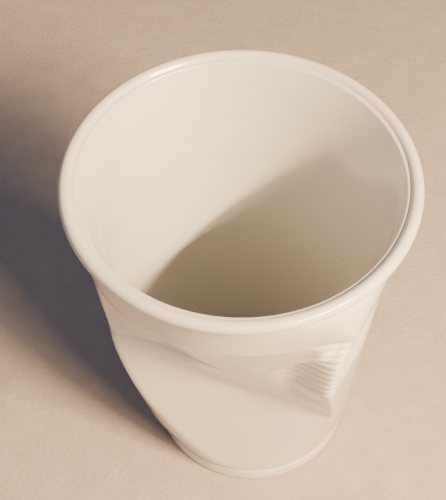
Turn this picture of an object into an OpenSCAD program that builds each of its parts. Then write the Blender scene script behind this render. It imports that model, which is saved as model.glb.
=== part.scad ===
// A crumpled drinking cup, slip-cast in one piece in glazed porcelain.
// The foot stands on z = 0 with its centre at the origin, and -Y is the dented front.
// Angles run round the cup from the front: positive to its right (+X), negative to its left.

/* [Cup] */
// height of the whole cup
cup_height = 96; // [90:1:102]
// outer diameter over the rounded rim
rim_diameter = 80; // [78:0.5:83]
// outer diameter of the foot
foot_diameter = 50.6; // [49:0.2:52]
// thickness of the wall, measured level
wall = 2.8; // [2.4:0.1:3.2]
// sideways shift of the rim against the foot
lean = 3.2; // [0:0.2:4]

/* [Rim] */
// thickness of the rounded roll
roll_thickness = 3; // [2.6:0.1:3.4]
// overhang of the roll past the wall below it
roll_overhang = 3.35; // [2.6:0.05:3.6]
// height of the rim piece with its flared lip
rim_height = 6; // [5.5:0.1:7]

/* [Foot] */
// height of the foot band, up to where the wall starts
foot_height = 6; // [5.5:0.1:7]
// depth of the recess under the foot
foot_recess = 1.2; // [0.8:0.1:1.6]
// width of the ring that the cup stands on
foot_ring = 3.6; // [3:0.1:5]
// thickness of the floor
floor_thickness = 2.6; // [2.2:0.1:2.8]
// depth of the groove above the foot band
groove_depth = 0.45; // [0.2:0.05:0.7]

/* [Ribs] */
// distance from the top of the rim to the first rib
smooth_band = 18; // [15:0.5:20]
// number of ribs
rib_count = 10; // [7:1:12]
// height of one rib
rib_pitch = 2.6; // [2.2:0.1:2.8]
// depth of the grooves between the ribs
rib_depth = 0.35; // [0.15:0.05:0.5]
// step from the smooth band in to the ribs
shoulder_step = 0.5; // [0.2:0.1:0.8]

/* [Dent] */
// direction that the flattened front faces, round from the front
panel_angle = -12; // [-16:1:-8]
// how far the flattened panel leans in, for each millimetre of height
panel_slope = 0.207; // [0.17:0.005:0.23]
// height of the valley under the dent, at the front
valley_height = 37.7; // [35:0.5:41]
// fall of the valley to the right, for each degree
valley_fall = 0.09; // [0:0.01:0.12]
// direction that the side face of the dent faces
facet_angle = -22; // [-28:1:-18]
// distance from the axis to the side face, at the height of the valley
facet_distance = 17.5; // [17:0.1:18.5]
// distance from the axis to the side face, at the lowest rib
facet_rib_distance = 22.2; // [21.6:0.1:23]

/* [Swellings] */
// how far the left side is pushed out
left_swell = 4; // [2:0.1:5]
// direction of the left swelling
left_angle = -71; // [-76:1:-64]
// how far the ridge at the right of the dent is pushed out
ridge_swell = 5.2; // [4:0.1:6]
// direction of the ridge where it runs straight down
ridge_angle = 31; // [29:0.5:33]

/* [Hidden] */
clay = [0.93, 0.90, 0.84];
foot_r = foot_diameter / 2;
roll_r = roll_thickness / 2;
rim_r = rim_diameter / 2;
wall_top_r = rim_r - roll_overhang;
rim_z = cup_height - rim_height;
ribs_top = cup_height - smooth_band;
ribs_bottom = ribs_top - rib_count * rib_pitch;
// the two turned ends stand this much proud of the wall that they join
proud_out = 0.03;
proud_in = 0.06;
// the wall reaches this far into the two ends
bury = 1.6;
// the wall is plain and round this close to the ends
plain_end = 0.3;
wall_low = foot_height + plain_end;
wall_high = rim_z - plain_end;
shoulder_r = foot_r + (wall_top_r - foot_r) * ribs_top / rim_z;
left_width = 25;
left_peak = 42;
ridge_left_width = 9;
ridge_right_width = 11.5;
ridge_peak = 64;
facet_low_slope = 0.33;
facet_high_slope = 0.09;
edge_round = 0.7;
fold_round = 1.2;
inner_round = 3;

// Radius of the undented wall: a cone up to the ribs' top, then a step out to the smooth band.
function cone_r(z) = z < ribs_top
    ? foot_r + (shoulder_r - shoulder_step - foot_r) * z / ribs_top
    : shoulder_r + (wall_top_r - shoulder_r) * (z - ribs_top) / (rim_z - ribs_top);

// Sideways place of the wall's centre at a height.
function lean_x(z) = -lean * min(1, max(0, (z - wall_low) / (wall_high - wall_low)));

// A hump over the height: nothing at both ends of the wall, full at the peak.
function hump(z, peak, below, above) =
    z <= wall_low || z >= wall_high ? 0
    : z < peak ? pow(sin(90 * (z - wall_low) / (peak - wall_low)), below)
    : pow(sin(90 * (wall_high - z) / (wall_high - peak)), above);

function bell(x) = exp(-x * x);

// The smaller of two radii, with the corner between them rounded over k.
function soft_min(a, b, k) =
    let (h = min(1, max(0, 0.5 + 0.5 * (b - a) / k)))
    b + (a - b) * h - k * h * (1 - h);
function soft_max(a, b, k) = -soft_min(-a, -b, k);

// Radius of a flat face that stands off the axis, seen along an angle away from its own.
function face_r(off, turn) = off / max(cos(turn), 0.12);

// The ridge runs straight down beside the ribs and veers to the right above and below.
function ridge_at(z) = ridge_angle + (z > ribs_bottom + 3
    ? 5.5 * pow((min(z, ribs_top) - ribs_bottom - 3) / (ribs_top - ribs_bottom - 3), 3)
    : 9 * min(1, max(0, ribs_bottom - z) / 24));

// A tent across the ridge with a rounded crest, which flattens out above the ribs.
function crest(a, z) =
    let (
        off = a - ridge_at(z),
        soft = 1 + 1.5 * max(0, z - ribs_top),
        width = off < 0 ? ridge_left_width : ridge_right_width
    )
    exp((soft - sqrt(off * off + soft * soft)) / width);

// The wall with its two swellings, before the dent is pressed in.
function swollen_r(a, z) =
    cone_r(z)
    + left_swell * bell((a - left_angle) / left_width) * hump(z, left_peak, 0.55, 1)
    + ridge_swell * crest(a, z) * hump(z, ridge_peak, 1, 0.5);

function valley_z(a) = valley_height - valley_fall * min(60, max(-80, a));
function panel_off(z) = cone_r(wall_low) - panel_slope * (z - wall_low);
function facet_off(z) = soft_min(
    facet_distance + facet_low_slope * (z - valley_height),
    facet_rib_distance + facet_high_slope * (z - ribs_bottom),
    1
);

// Depth of the dent's upper face: none at the first rib, full at the valley.
function press(a, z) = max(0, (ribs_top - z) / (ribs_top - valley_z(a)));

// Radius of the dented wall without its ribs. The dent is bounded by three faces:
// a curved one under the smooth band, a flat panel below the valley and a side face at the right.
function dented_r(a, z, edge, fold) =
    let (
        full = swollen_r(a, z),
        turn = a - panel_angle,
        t = press(a, z),
        upper = full - t * (full - face_r(panel_off(valley_z(a)), turn)),
        lower = face_r(panel_off(z), turn),
        side = face_r(facet_off(z), a - facet_angle),
        pressed = soft_max(soft_max(upper, lower, fold), side, fold)
    )
    z >= ribs_top || z <= wall_low || abs(turn) > 85 ? full
    : soft_min(full, pressed, edge * min(1, 4 * t) + 0.001);

// The ribs are shallow on the swollen left side.
function rib_cut(a) = rib_depth * (1 - 0.7 * bell((a - left_angle) / left_width));

// Angles of the wall's columns: close together over the dent, wide apart behind it.
front_step = 3;
back_step = 7.5;
columns = concat([for (a = [-90 : front_step : 60]) a], [for (a = [60 + back_step : back_step : 269]) a]);
ridge_column = 33;
function signed(a) = a > 180 ? a - 360 : a;

// The columns next to the ridge follow it as it moves round with the height.
function pull(a) = max(0, 1 - abs(a - ridge_column) / (a < ridge_column ? 45 : 27));
function column_angle(a, z) =
    a + (ridge_at(z) - ridge_column) * pull(a) * min(1, max(0, (z - wall_low) / 20));

// A row is a share between two fixed heights, which lets the rows follow the sloping valley.
// Each is [zone, share, groove]: zone 0 foot to valley, 1 valley to ribs, 2 ribs, 3 smooth band.
panel_rows = 9;
strip_rows = 4;
band_rows = 4;
function row_z(row, a) =
    row[0] == 0 ? wall_low + row[1] * (valley_z(a) - wall_low)
    : row[0] == 1 ? valley_z(a) + row[1] * (ribs_bottom - valley_z(a))
    : row[0] == 2 ? ribs_bottom + row[1] * (ribs_top - ribs_bottom)
    : ribs_top + row[1] * (wall_high - ribs_top);
outer_rows = concat(
    [for (i = [0 : panel_rows - 1]) [0, i / panel_rows, 0]],
    [for (i = [0 : strip_rows - 1]) [1, i / strip_rows, 0]],
    [for (i = [0 : 2 * rib_count - 1]) [2, i / (2 * rib_count), i % 2]],
    [for (i = [0 : band_rows]) [3, i / band_rows, 0]]
);
inner_rows = concat(
    [for (i = [0 : 5]) [0, i / 6, 0]],
    [for (i = [0 : 2]) [1, i / 3, 0]],
    [for (i = [0 : 5]) [2, i / 6, 0]],
    [for (i = [0 : 2]) [3, i / 2, 0]]
);

function wall_point(r, a, z) = [lean_x(z) + r * sin(a), -r * cos(a), z];

function outer_point(row, column) =
    let (
        z = row_z(row, signed(column)),
        a = signed(column_angle(column, z))
    )
    wall_point(dented_r(a, z, edge_round, fold_round) - row[2] * rib_cut(a), a, z);

function inner_point(row, column) =
    let (
        z = row_z(row, signed(column)),
        a = signed(column_angle(column, z))
    )
    wall_point(dented_r(a, z, inner_round, inner_round) - wall, a, z);

// A plain ring of points at one height, for the ends that are buried in the rim and the foot.
function end_ring(z, inset) = [for (a = columns) wall_point(cone_r(z) - inset, a, z)];

function ring_faces(from, to, count) = [
    for (j = [0 : count - 1])
        let (k = (j + 1) % count)
        each [[from + j, to + j, to + k], [from + j, to + k, from + k]]
];

// The dented wall: one closed skin that runs up the outside, over and down the inside.
module dented_wall() {
    count = len(columns);
    low = foot_height - bury;
    high = rim_z + bury;
    rings = concat(
        [end_ring(low, 0)],
        [for (row = outer_rows) [for (a = columns) outer_point(row, a)]],
        [end_ring(high, 0), end_ring(high, wall)],
        [for (i = [len(inner_rows) - 1 : -1 : 0]) [for (a = columns) inner_point(inner_rows[i], a)]],
        [end_ring(low, wall)]
    );
    faces = [
        for (i = [0 : len(rings) - 1])
            each ring_faces(i * count, ((i + 1) % len(rings)) * count, count)
    ];
    polyhedron([for (ring = rings) each ring], faces);
}

// Points of an arc, from one direction to another, in steps.
function arc(x, y, r, from, to, steps) =
    [for (i = [0 : steps]) let (a = from + (to - from) * i / steps) [x + r * cos(a), y + r * sin(a)]];

// The rim: a round roll that stands out past the wall, with a lip that flares into it inside.
module rim() {
    roll_x = rim_r - roll_r;
    roll_z = cup_height - roll_r;
    under_x = wall_top_r + proud_out;
    inside_x = wall_top_r - wall - proud_in;
    translate([-lean, 0, 0])
        rotate_extrude($fn = 120)
            polygon(concat(
                [[inside_x, rim_z], [cone_r(rim_z) + proud_out, rim_z]],
                [[under_x + 0.1, roll_z - roll_r - 0.7], [under_x + 0.5, roll_z - roll_r - 0.1]],
                arc(roll_x, roll_z, roll_r, -75, 150, 15),
                [[inside_x + 1.6, roll_z - 1.1], [inside_x + 0.7, roll_z - 2.2], [inside_x + 0.2, roll_z - 3.3]]
            ));
}

// The foot: a low band with a groove above it, a ring to stand on and the floor.
module foot() {
    edge = 0.9;
    groove_z = foot_height - 1.2;
    floor_z = foot_recess + floor_thickness;
    ring_in = foot_r - foot_ring - edge;
    inside_x = cone_r(foot_height) - wall - proud_in;
    fillet = foot_height - floor_z;
    rotate_extrude($fn = 120)
        polygon(concat(
            [[0, foot_recess], [ring_in - foot_recess, foot_recess], [ring_in, 0]],
            arc(foot_r - edge, edge, edge, -90, 0, 6),
            [[cone_r(groove_z - 1) + proud_out, groove_z - 1]],
            [[cone_r(groove_z) - groove_depth, groove_z - 0.2], [cone_r(groove_z) - groove_depth, groove_z + 0.2]],
            [[cone_r(foot_height) + proud_out, groove_z + 0.9], [cone_r(foot_height) + proud_out, foot_height]],
            arc(inside_x - fillet, foot_height, fillet, 0, -90, 8),
            [[0, floor_z]]
        ));
}

module cup() {
    color(clay)
        union() {
            dented_wall();
            rim();
            foot();
        }
}

cup();
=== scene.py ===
"""A crumpled drinking cup of glazed porcelain, standing on a pale table."""

import math

import bmesh
import bpy
from mathutils import Matrix, Vector


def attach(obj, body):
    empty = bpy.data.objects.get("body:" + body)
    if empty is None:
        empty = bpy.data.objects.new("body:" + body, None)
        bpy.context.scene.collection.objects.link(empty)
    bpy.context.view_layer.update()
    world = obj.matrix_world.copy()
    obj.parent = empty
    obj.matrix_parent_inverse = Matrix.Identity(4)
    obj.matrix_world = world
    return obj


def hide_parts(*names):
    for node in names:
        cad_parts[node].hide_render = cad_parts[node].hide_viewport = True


# Camera
# It stands in front of the dent and looks steeply down into the mouth, turned a little out of level.
# Its place and lens were fitted to the rim, the foot and the side lines.
camera_data = bpy.data.cameras.new("camera")
camera_data.lens = 86.4
camera_data.sensor_width = 36
camera_data.shift_y = 0.0031
camera_data.clip_start = 0.01
camera_data.clip_end = 20
camera = bpy.data.objects.new("camera", camera_data)
camera.matrix_world = Matrix((
    (0.99989621, 0.01440714, 0.0, -0.007284),
    (-0.01156202, 0.80243653, -0.59662545, -0.169193),
    (-0.00859567, 0.59656353, 0.80251982, 0.295888),
    (0, 0, 0, 1),
))
bpy.context.scene.collection.objects.link(camera)
bpy.context.scene.camera = camera

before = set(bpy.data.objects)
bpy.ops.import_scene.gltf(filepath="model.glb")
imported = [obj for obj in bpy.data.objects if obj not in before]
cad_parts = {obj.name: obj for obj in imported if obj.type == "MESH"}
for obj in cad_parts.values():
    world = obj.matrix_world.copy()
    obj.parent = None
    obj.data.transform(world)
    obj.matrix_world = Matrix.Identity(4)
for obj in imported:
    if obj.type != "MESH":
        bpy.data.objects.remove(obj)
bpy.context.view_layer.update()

# Cup
# The whole cup is one hollow piece of porcelain, slip-cast in a mould that was taken from a crumpled
# beaker. Its half section is drawn as one closed line in millimetres and spun round, and then the
# dented front is pressed into the round wall, inside and out. Angles are from the front, right positive.
HEIGHT = 96
RIM_R = 40
ROLL_R = 1.5
WALL_TOP_R = 36.65
RIM_Z = 90
WALL_LOW, WALL_HIGH = 6.3, 89.7
WALL = 2.8
LEAN = 3.2
RIBS_TOP, RIBS_BOTTOM = 78, 52
RIB_COUNT = 10
RIB_PITCH = (RIBS_TOP - RIBS_BOTTOM) / RIB_COUNT
SHOULDER_STEP = 0.5
FOOT_R = 25.3
FOOT_ROUND = 0.9
FOOT_PROUD = 0.5
FOOT_RING = 3.6
GROOVE_Z = 4.6
GROOVE_DEPTH = 0.6
RECESS_Z = 1.2
FLOOR_Z = 3.8
FLOOR_ROUND = 2.2
SHOULDER_R = FOOT_R + (WALL_TOP_R - FOOT_R) * RIBS_TOP / RIM_Z
PANEL_TURN, PANEL_SLOPE = -12, 0.207
SIDE_TURN = -22
VALLEY_Z = 37.7
LEFT_TURN = -71
RIDGE_TURN, RIDGE_BEND_Z = 31, 55
MM = 0.001


def cone_radius(z):
    """Radius of the undented outside, with a step in under the smooth band."""
    if z < RIBS_TOP:
        return FOOT_R + (SHOULDER_R - SHOULDER_STEP - FOOT_R) * z / RIBS_TOP
    return SHOULDER_R + (WALL_TOP_R - SHOULDER_R) * (z - RIBS_TOP) / (RIM_Z - RIBS_TOP)


def soft_min(a, b, k):
    """The smaller of two values, with the corner between them rounded over a width k."""
    h = min(1, max(0, 0.5 + 0.5 * (b - a) / k))
    return b + (a - b) * h - k * h * (1 - h)


def soft_max(a, b, k):
    return -soft_min(-a, -b, k)


def ease(x):
    """Rises smoothly from 0 to 1 while x goes from 0 to 1."""
    x = min(1, max(0, x))
    return x * x * (3 - 2 * x)


def bump_at(value, centre, width):
    """A smooth bump of height 1 round a centre."""
    return math.exp(-((value - centre) / width) ** 2)


def hump(z, peak, below, above):
    """A swelling's share at a height: 0 at both ends of the wall and 1 at its peak."""
    if z <= WALL_LOW or z >= WALL_HIGH:
        return 0
    if z < peak:
        return math.sin(math.pi / 2 * (z - WALL_LOW) / (peak - WALL_LOW)) ** below
    return math.sin(math.pi / 2 * (WALL_HIGH - z) / (WALL_HIGH - peak)) ** above


def ridge_angle(z):
    """Direction of the sharp ridge at the dent's right end, at a height."""
    if z > RIDGE_BEND_Z:
        return RIDGE_TURN + 5.5 * ((min(z, RIBS_TOP) - RIDGE_BEND_Z) / (RIBS_TOP - RIDGE_BEND_Z)) ** 3
    return RIDGE_TURN + 9 * min(1, max(0, (RIBS_BOTTOM - z) / 24))


def swollen_radius(angle, z):
    """Radius of the undented outside with the swellings at the left and along the ridge."""
    left = bump_at(angle, LEFT_TURN, 25)
    off = angle - ridge_angle(z)
    soft = 1 + 1.5 * max(0, z - RIBS_TOP)
    across = math.exp((soft - math.hypot(off, soft)) / (9 if off < 0 else 11.5))
    return (
        cone_radius(z)
        + 4 * left * hump(z, 42, 0.55, 1)
        + 0.4 * left * bump_at(z, 12, 5)
        + 5.2 * across * hump(z, 64, 1, 0.5)
    )


def face_radius(distance, turn):
    """Radius at which a flat face, at a distance from the axis, is met at a turn away from it."""
    return distance / max(math.cos(math.radians(turn)), 0.12)


def pocket_top(angle):
    """Height of the fold that bounds the pocket beside the ridge; it falls away from the ridge."""
    return 77 - 0.85 * min(24, max(0, 32 - angle))


def kneaded(angle, z):
    """The dent's smaller forms: a pinch in the ribs at the left, a pocket beside the ridge, a low boss."""
    pinch = 1.8 * bump_at(angle, -53, 19) * ease((RIBS_TOP - z) / 24) * ease((z - 45) / 8)
    beside = bump_at(angle - ridge_angle(z), -9.5, 7)
    pocket = 2.1 * beside * ease((pocket_top(angle) - z) / 6) * ease((z - 40) / 9)
    boss = 0.45 * bump_at(angle, 1, 9) * bump_at(z, 55, 6)
    return boss - pinch - pocket


def dented_radius(angle, z, edge, fold):
    """Radius of the wall with the dent: an upper face, a flat lower panel and a side face."""
    full = swollen_radius(angle, z)
    turn = angle - PANEL_TURN
    if z >= RIBS_TOP or z <= WALL_LOW or abs(turn) > 85:
        return full
    valley = VALLEY_Z - 0.09 * min(60, max(-80, angle))
    start = cone_radius(WALL_LOW)
    share = max(0, (RIBS_TOP - z) / (RIBS_TOP - valley))
    upper = full - share * (full - face_radius(start - PANEL_SLOPE * (valley - WALL_LOW), turn))
    lower = face_radius(start - PANEL_SLOPE * (z - WALL_LOW), turn)
    side_off = soft_min(17.5 + 0.33 * (z - VALLEY_Z), 22.2 + 0.09 * (z - RIBS_BOTTOM), 1)
    side = face_radius(side_off, angle - SIDE_TURN)
    pressed = soft_max(soft_max(upper, lower, fold), side, fold)
    return soft_min(full, pressed, edge * min(1, 4 * share) + 0.001) + kneaded(angle, z)


def rib_radius(angle, z):
    """What a rib's groove takes off the radius: deep at the ridge and behind, faint over the dent."""
    phase = (RIBS_TOP - z) / RIB_PITCH
    if not 0 < phase < RIB_COUNT:
        return 0
    strength = 0.05 + 0.14 * bump_at(angle, -38, 14)
    strength += 0.38 * ease((angle - 14) / 12) * ease((pocket_top(angle) + 2 - z) / 4)
    strength += 0.25 * ease((-angle - 95) / 30) + 0.45 * bump_at(angle, 44, 12)
    strength += 1.0 * bump_at(angle - ridge_angle(z), -2, 3.5) * bump_at(z, 74.5, 3)
    return -strength * 0.5 * (1 - math.cos(2 * math.pi * phase))


def crease_radius(angle, z):
    """What the thin creases take off: one under the smooth band, one under the ribs, one short one."""
    band = (0.4 + 0.35 * bump_at(angle, -25, 22)) * bump_at(z, RIBS_TOP - 0.6, 0.5)
    under = (0.1 + 0.25 * ease((-10 - angle) / 18)) * bump_at(z, RIBS_BOTTOM - 0.4, 0.7)
    short = 0.28 * bump_at(z, 46.5 + 0.05 * (angle + 65), 0.7) * bump_at(angle, -66, 9)
    return -band - under - short


def flare(z):
    """How far the inner wall turns out towards the lip, on top of its cone."""
    return 1.6 * max(0, (z - 79) / 15) ** 2.2


def outer_radius(angle, z):
    return dented_radius(angle, z, 0.7, 1.2) + rib_radius(angle, z) + crease_radius(angle, z)


def inner_radius(angle, z):
    """Radius of the inner wall, where the outside's folds and steps come through softened."""
    softened = SHOULDER_STEP * (ease((z - 71) / 14) - (z >= RIBS_TOP))
    return dented_radius(angle, z, 3, 3) - WALL + softened + flare(z)


def line_on(section, start, x, z, steps=1):
    """Carries the section's line straight on to a point, in equal steps."""
    step = (Vector((x, 0, z)) - start.co) / steps
    for _ in range(steps):
        start = bmesh.ops.extrude_vert_indiv(section, verts=[start])["verts"][0]
        start.co += step
    return start


def arc_on(section, start, x, z, degrees, steps):
    """Carries the section's line on round a centre; positive turns go anticlockwise, seen from the front."""
    turned = bmesh.ops.spin(
        section, geom=[start], cent=(x, 0, z), axis=(0, -1, 0), angle=math.radians(degrees), steps=steps
    )
    return [v for v in turned["geom_last"] if isinstance(v, bmesh.types.BMVert)][0]


cup = bmesh.new()

# The underside, the foot ring and the groove above it
ring_inside = FOOT_R - FOOT_RING - FOOT_ROUND
foot_edge = FOOT_R + FOOT_PROUD - FOOT_ROUND
point = cup.verts.new((0, 0, RECESS_Z))
point = line_on(cup, point, ring_inside - RECESS_Z, RECESS_Z, 10)
point = line_on(cup, point, ring_inside, 0, 3)
point = line_on(cup, point, foot_edge, 0, 4)
point = arc_on(cup, point, foot_edge, FOOT_ROUND, 70, 8)
point = line_on(cup, point, cone_radius(3.7) - 0.1, 3.7, 5)
point = line_on(cup, point, cone_radius(4.7) - GROOVE_DEPTH, GROOVE_Z, 4)
point = line_on(cup, point, cone_radius(4.9) - GROOVE_DEPTH, GROOVE_Z + 0.4, 2)
point = line_on(cup, point, cone_radius(6), 6, 4)

# The outside up to the roll, with close rows where the ribs lie
point = line_on(cup, point, cone_radius(RIBS_BOTTOM), RIBS_BOTTOM, 76)
point = line_on(cup, point, cone_radius(RIBS_TOP - 0.01), RIBS_TOP - 0.01, 70)
point = line_on(cup, point, cone_radius(RIBS_TOP + 0.7), RIBS_TOP + 0.7, 3)
point = line_on(cup, point, WALL_TOP_R, RIM_Z, 19)
point = line_on(cup, point, 36.7, 92.777, 5)

# The rolled rim and the narrow shelf inside it
point = arc_on(cup, point, 37.3, 92.777, -124.9, 5)
point = arc_on(cup, point, RIM_R - ROLL_R, HEIGHT - ROLL_R, 274.9, 18)
lip = ((37.06, 95.02), (36.88, 94.94), (36.66, 94.92), (36.45, 94.85), (36.27, 94.72), (36.12, 94.52))
for x, z in lip:
    point = line_on(cup, point, x, z)

# The inside down to the middle of the floor
for z in (94.25, 93.6, 92.8, 92, 91, 90, 89, 88, 87, 86, 85, 84, 83, RIBS_TOP + 4):
    point = line_on(cup, point, cone_radius(z) - WALL + flare(z), z)
point = line_on(cup, point, cone_radius(RIBS_TOP - 4) - WALL, RIBS_TOP - 4, 8)
point = line_on(cup, point, cone_radius(6) - WALL, 6, 61)
point = arc_on(cup, point, cone_radius(6) - WALL - FLOOR_ROUND, FLOOR_Z + FLOOR_ROUND, -90, 6)
point = line_on(cup, point, 0, FLOOR_Z, 11)

# A wedge is spun from the section and copied round to the full cup
WEDGE_DEG, WEDGES, WEDGE_COLUMNS = 20, 18, 16
bmesh.ops.spin(
    cup, geom=cup.verts[:] + cup.edges[:], cent=(0, 0, 0), axis=(0, 0, 1),
    angle=math.radians(WEDGE_DEG), steps=WEDGE_COLUMNS,
)
wedge = cup.verts[:] + cup.edges[:] + cup.faces[:]
for count in range(1, WEDGES):
    copied = bmesh.ops.duplicate(cup, geom=wedge)["geom"]
    bmesh.ops.rotate(
        cup, verts=[v for v in copied if isinstance(v, bmesh.types.BMVert)],
        cent=(0, 0, 0), matrix=Matrix.Rotation(math.radians(WEDGE_DEG * count), 3, "Z"),
    )
bmesh.ops.remove_doubles(cup, verts=cup.verts[:], dist=0.0005)

# The wall is pressed to its dented shape, with the columns drawn over to follow the ridge
COLUMNS_TURN = 33
for vert in cup.verts:
    x, y, z = vert.co
    lean = -LEAN * min(1, max(0, (z - WALL_LOW) / (WALL_HIGH - WALL_LOW)))
    if not WALL_LOW < z < WALL_HIGH:
        vert.co.x += lean
        continue
    angle = math.degrees(math.atan2(x, -y))
    inside = math.hypot(x, y) < cone_radius(z) - WALL / 2 + flare(z) / 2
    beside = 1 - abs(angle - COLUMNS_TURN) / (45 if angle < COLUMNS_TURN else 27)
    angle += (ridge_angle(z) - COLUMNS_TURN) * max(0, beside) * min(1, (z - WALL_LOW) / 20)
    radius = inner_radius(angle, z) if inside else outer_radius(angle, z)
    turn = math.radians(angle)
    vert.co = (lean + radius * math.sin(turn), -radius * math.cos(turn), z)

bmesh.ops.scale(cup, vec=(MM, MM, MM), verts=cup.verts[:])
bmesh.ops.recalc_face_normals(cup, faces=cup.faces[:])
for face in cup.faces:
    face.smooth = True
cup_mesh = bpy.data.meshes.new("cup_shell")
cup.to_mesh(cup_mesh)
cup.free()
cup_shell = bpy.data.objects.new("cup_shell", cup_mesh)
bpy.context.scene.collection.objects.link(cup_shell)


def add_node(material, kind, **settings):
    """Adds a node to a material and sets its sockets, named with _ for a space."""
    node = material.node_tree.nodes.new(kind)
    for name, value in settings.items():
        node.inputs[name.replace("_", " ")].default_value = value
    return node


def mottle(material, noise, low, high):
    """A colour that drifts between two tones with a noise."""
    tint = add_node(material, "ShaderNodeValToRGB")
    for stop, position, tone in zip(tint.color_ramp.elements, (0.3, 0.7), (low, high)):
        stop.position = position
        stop.color = (*tone, 1)
    material.node_tree.links.new(noise.outputs["Fac"], tint.inputs["Fac"])
    return tint


# A clear gloss glaze over a cream body, a little cloudy and uneven, with a few dark pinholes
glaze = bpy.data.materials.new("cream_glaze")
glaze.use_nodes = True
links = glaze.node_tree.links
shader = glaze.node_tree.nodes["Principled BSDF"]
shader.inputs["Coat Weight"].default_value = 1.0
shader.inputs["Coat Roughness"].default_value = 0.06
shader.inputs["Coat IOR"].default_value = 1.5
shader.inputs["Specular IOR Level"].default_value = 0.3
place = add_node(glaze, "ShaderNodeTexCoord")
cloud = add_node(glaze, "ShaderNodeTexNoise", Scale=28, Detail=4)
specks = add_node(glaze, "ShaderNodeTexVoronoi", Scale=150)
peel = add_node(glaze, "ShaderNodeTexNoise", Scale=320, Detail=3)
for pattern in (cloud, specks, peel):
    links.new(place.outputs["Object"], pattern.inputs["Vector"])
few = add_node(glaze, "ShaderNodeMath")
few.operation = "GREATER_THAN"
few.inputs[1].default_value = 0.72
links.new(specks.outputs["Color"], few.inputs[0])
small = add_node(glaze, "ShaderNodeMath")
small.operation = "LESS_THAN"
small.inputs[1].default_value = 0.045
links.new(specks.outputs["Distance"], small.inputs[0])
pinhole = add_node(glaze, "ShaderNodeMath")
pinhole.operation = "MULTIPLY"
links.new(few.outputs["Value"], pinhole.inputs[0])
links.new(small.outputs["Value"], pinhole.inputs[1])
tint = mottle(glaze, cloud, (0.64, 0.632, 0.622), (0.68, 0.672, 0.662))
dotted = add_node(glaze, "ShaderNodeMix")
dotted.data_type = "RGBA"
dotted.inputs["B"].default_value = (0.3, 0.24, 0.18, 1)
links.new(pinhole.outputs["Value"], dotted.inputs["Factor"])
links.new(tint.outputs["Color"], dotted.inputs["A"])
links.new(dotted.outputs["Result"], shader.inputs["Base Color"])
gloss = add_node(glaze, "ShaderNodeMapRange", To_Min=0.3, To_Max=0.42)
links.new(cloud.outputs["Fac"], gloss.inputs["Value"])
links.new(gloss.outputs["Result"], shader.inputs["Roughness"])
skin = add_node(glaze, "ShaderNodeBump", Strength=0.12, Distance=0.0003)
links.new(peel.outputs["Fac"], skin.inputs["Height"])
links.new(skin.outputs["Normal"], shader.inputs["Normal"])
wavy = add_node(glaze, "ShaderNodeBump", Strength=0.25, Distance=0.0006)
links.new(cloud.outputs["Fac"], wavy.inputs["Height"])
links.new(wavy.outputs["Normal"], shader.inputs["Coat Normal"])
cup_mesh.materials.append(glaze)
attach(cup_shell, "root")
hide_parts("cup")

# Table
# A plain pale table top with a dull, slightly mottled lacquer.
# It is one flat sheet that reaches well past the picture on every side.
table = bmesh.new()
bmesh.ops.create_grid(table, x_segments=1, y_segments=1, size=3)
table_mesh = bpy.data.meshes.new("table_top")
table.to_mesh(table_mesh)
table.free()
table_top = bpy.data.objects.new("table_top", table_mesh)
bpy.context.scene.collection.objects.link(table_top)
lacquer = bpy.data.materials.new("table_lacquer")
lacquer.use_nodes = True
links = lacquer.node_tree.links
shader = lacquer.node_tree.nodes["Principled BSDF"]
shader.inputs["Roughness"].default_value = 0.6
place = add_node(lacquer, "ShaderNodeTexCoord")
cloud = add_node(lacquer, "ShaderNodeTexNoise", Scale=140, Detail=5)
grain = add_node(lacquer, "ShaderNodeTexNoise", Scale=700, Detail=6)
for pattern in (cloud, grain):
    links.new(place.outputs["Object"], pattern.inputs["Vector"])
tint = mottle(lacquer, cloud, (0.355, 0.308, 0.284), (0.405, 0.35, 0.323))
links.new(tint.outputs["Color"], shader.inputs["Base Color"])
pores = add_node(lacquer, "ShaderNodeBump", Strength=0.6, Distance=0.0004)
links.new(grain.outputs["Fac"], pores.inputs["Height"])
links.new(pores.outputs["Normal"], shader.inputs["Normal"])
table_mesh.materials.append(lacquer)

# Light
# A short strip lamp hangs close by at the front right and a long one behind it, in the same direction,
# and a dim, cool room lights the rest.
LAMP_COLOUR = (1.0, 0.665, 0.33)
CUP_MIDDLE = Vector((0, 0, 0.05))


def hang_strip(name, length, width, energy, round_deg, up_deg, tilt_deg, far):
    """Hangs a strip lamp in a direction from the cup, facing it, turned by the tilt out of level."""
    strip_data = bpy.data.lights.new(name, "AREA")
    strip_data.shape = "RECTANGLE"
    strip_data.size = length
    strip_data.size_y = width
    strip_data.energy = energy
    strip_data.color = LAMP_COLOUR
    strip_lamp = bpy.data.objects.new(name, strip_data)
    bpy.context.scene.collection.objects.link(strip_lamp)
    around, up = math.radians(round_deg), math.radians(up_deg)
    away = Vector((math.sin(around) * math.cos(up), -math.cos(around) * math.cos(up), math.sin(up)))
    level = Vector((math.cos(around), math.sin(around), 0))
    along = Matrix.Rotation(math.radians(tilt_deg), 3, away) @ level
    facing = Matrix((along, away.cross(along), away)).transposed().to_4x4()
    strip_lamp.matrix_world = Matrix.Translation(CUP_MIDDLE + far * away) @ facing


hang_strip("short_strip", 0.1, 0.008, 5.2, 49.4, 42.8, 13.3, 0.36)
hang_strip("long_strip", 0.5, 0.01, 20, 49, 42, 0, 1)

room = bpy.data.worlds.new("room")
bpy.context.scene.world = room
room.use_nodes = True
sky = room.node_tree.nodes["Background"]
sky.inputs["Color"].default_value = (0.78, 0.8, 1.0, 1)
sky.inputs["Strength"].default_value = 0.28
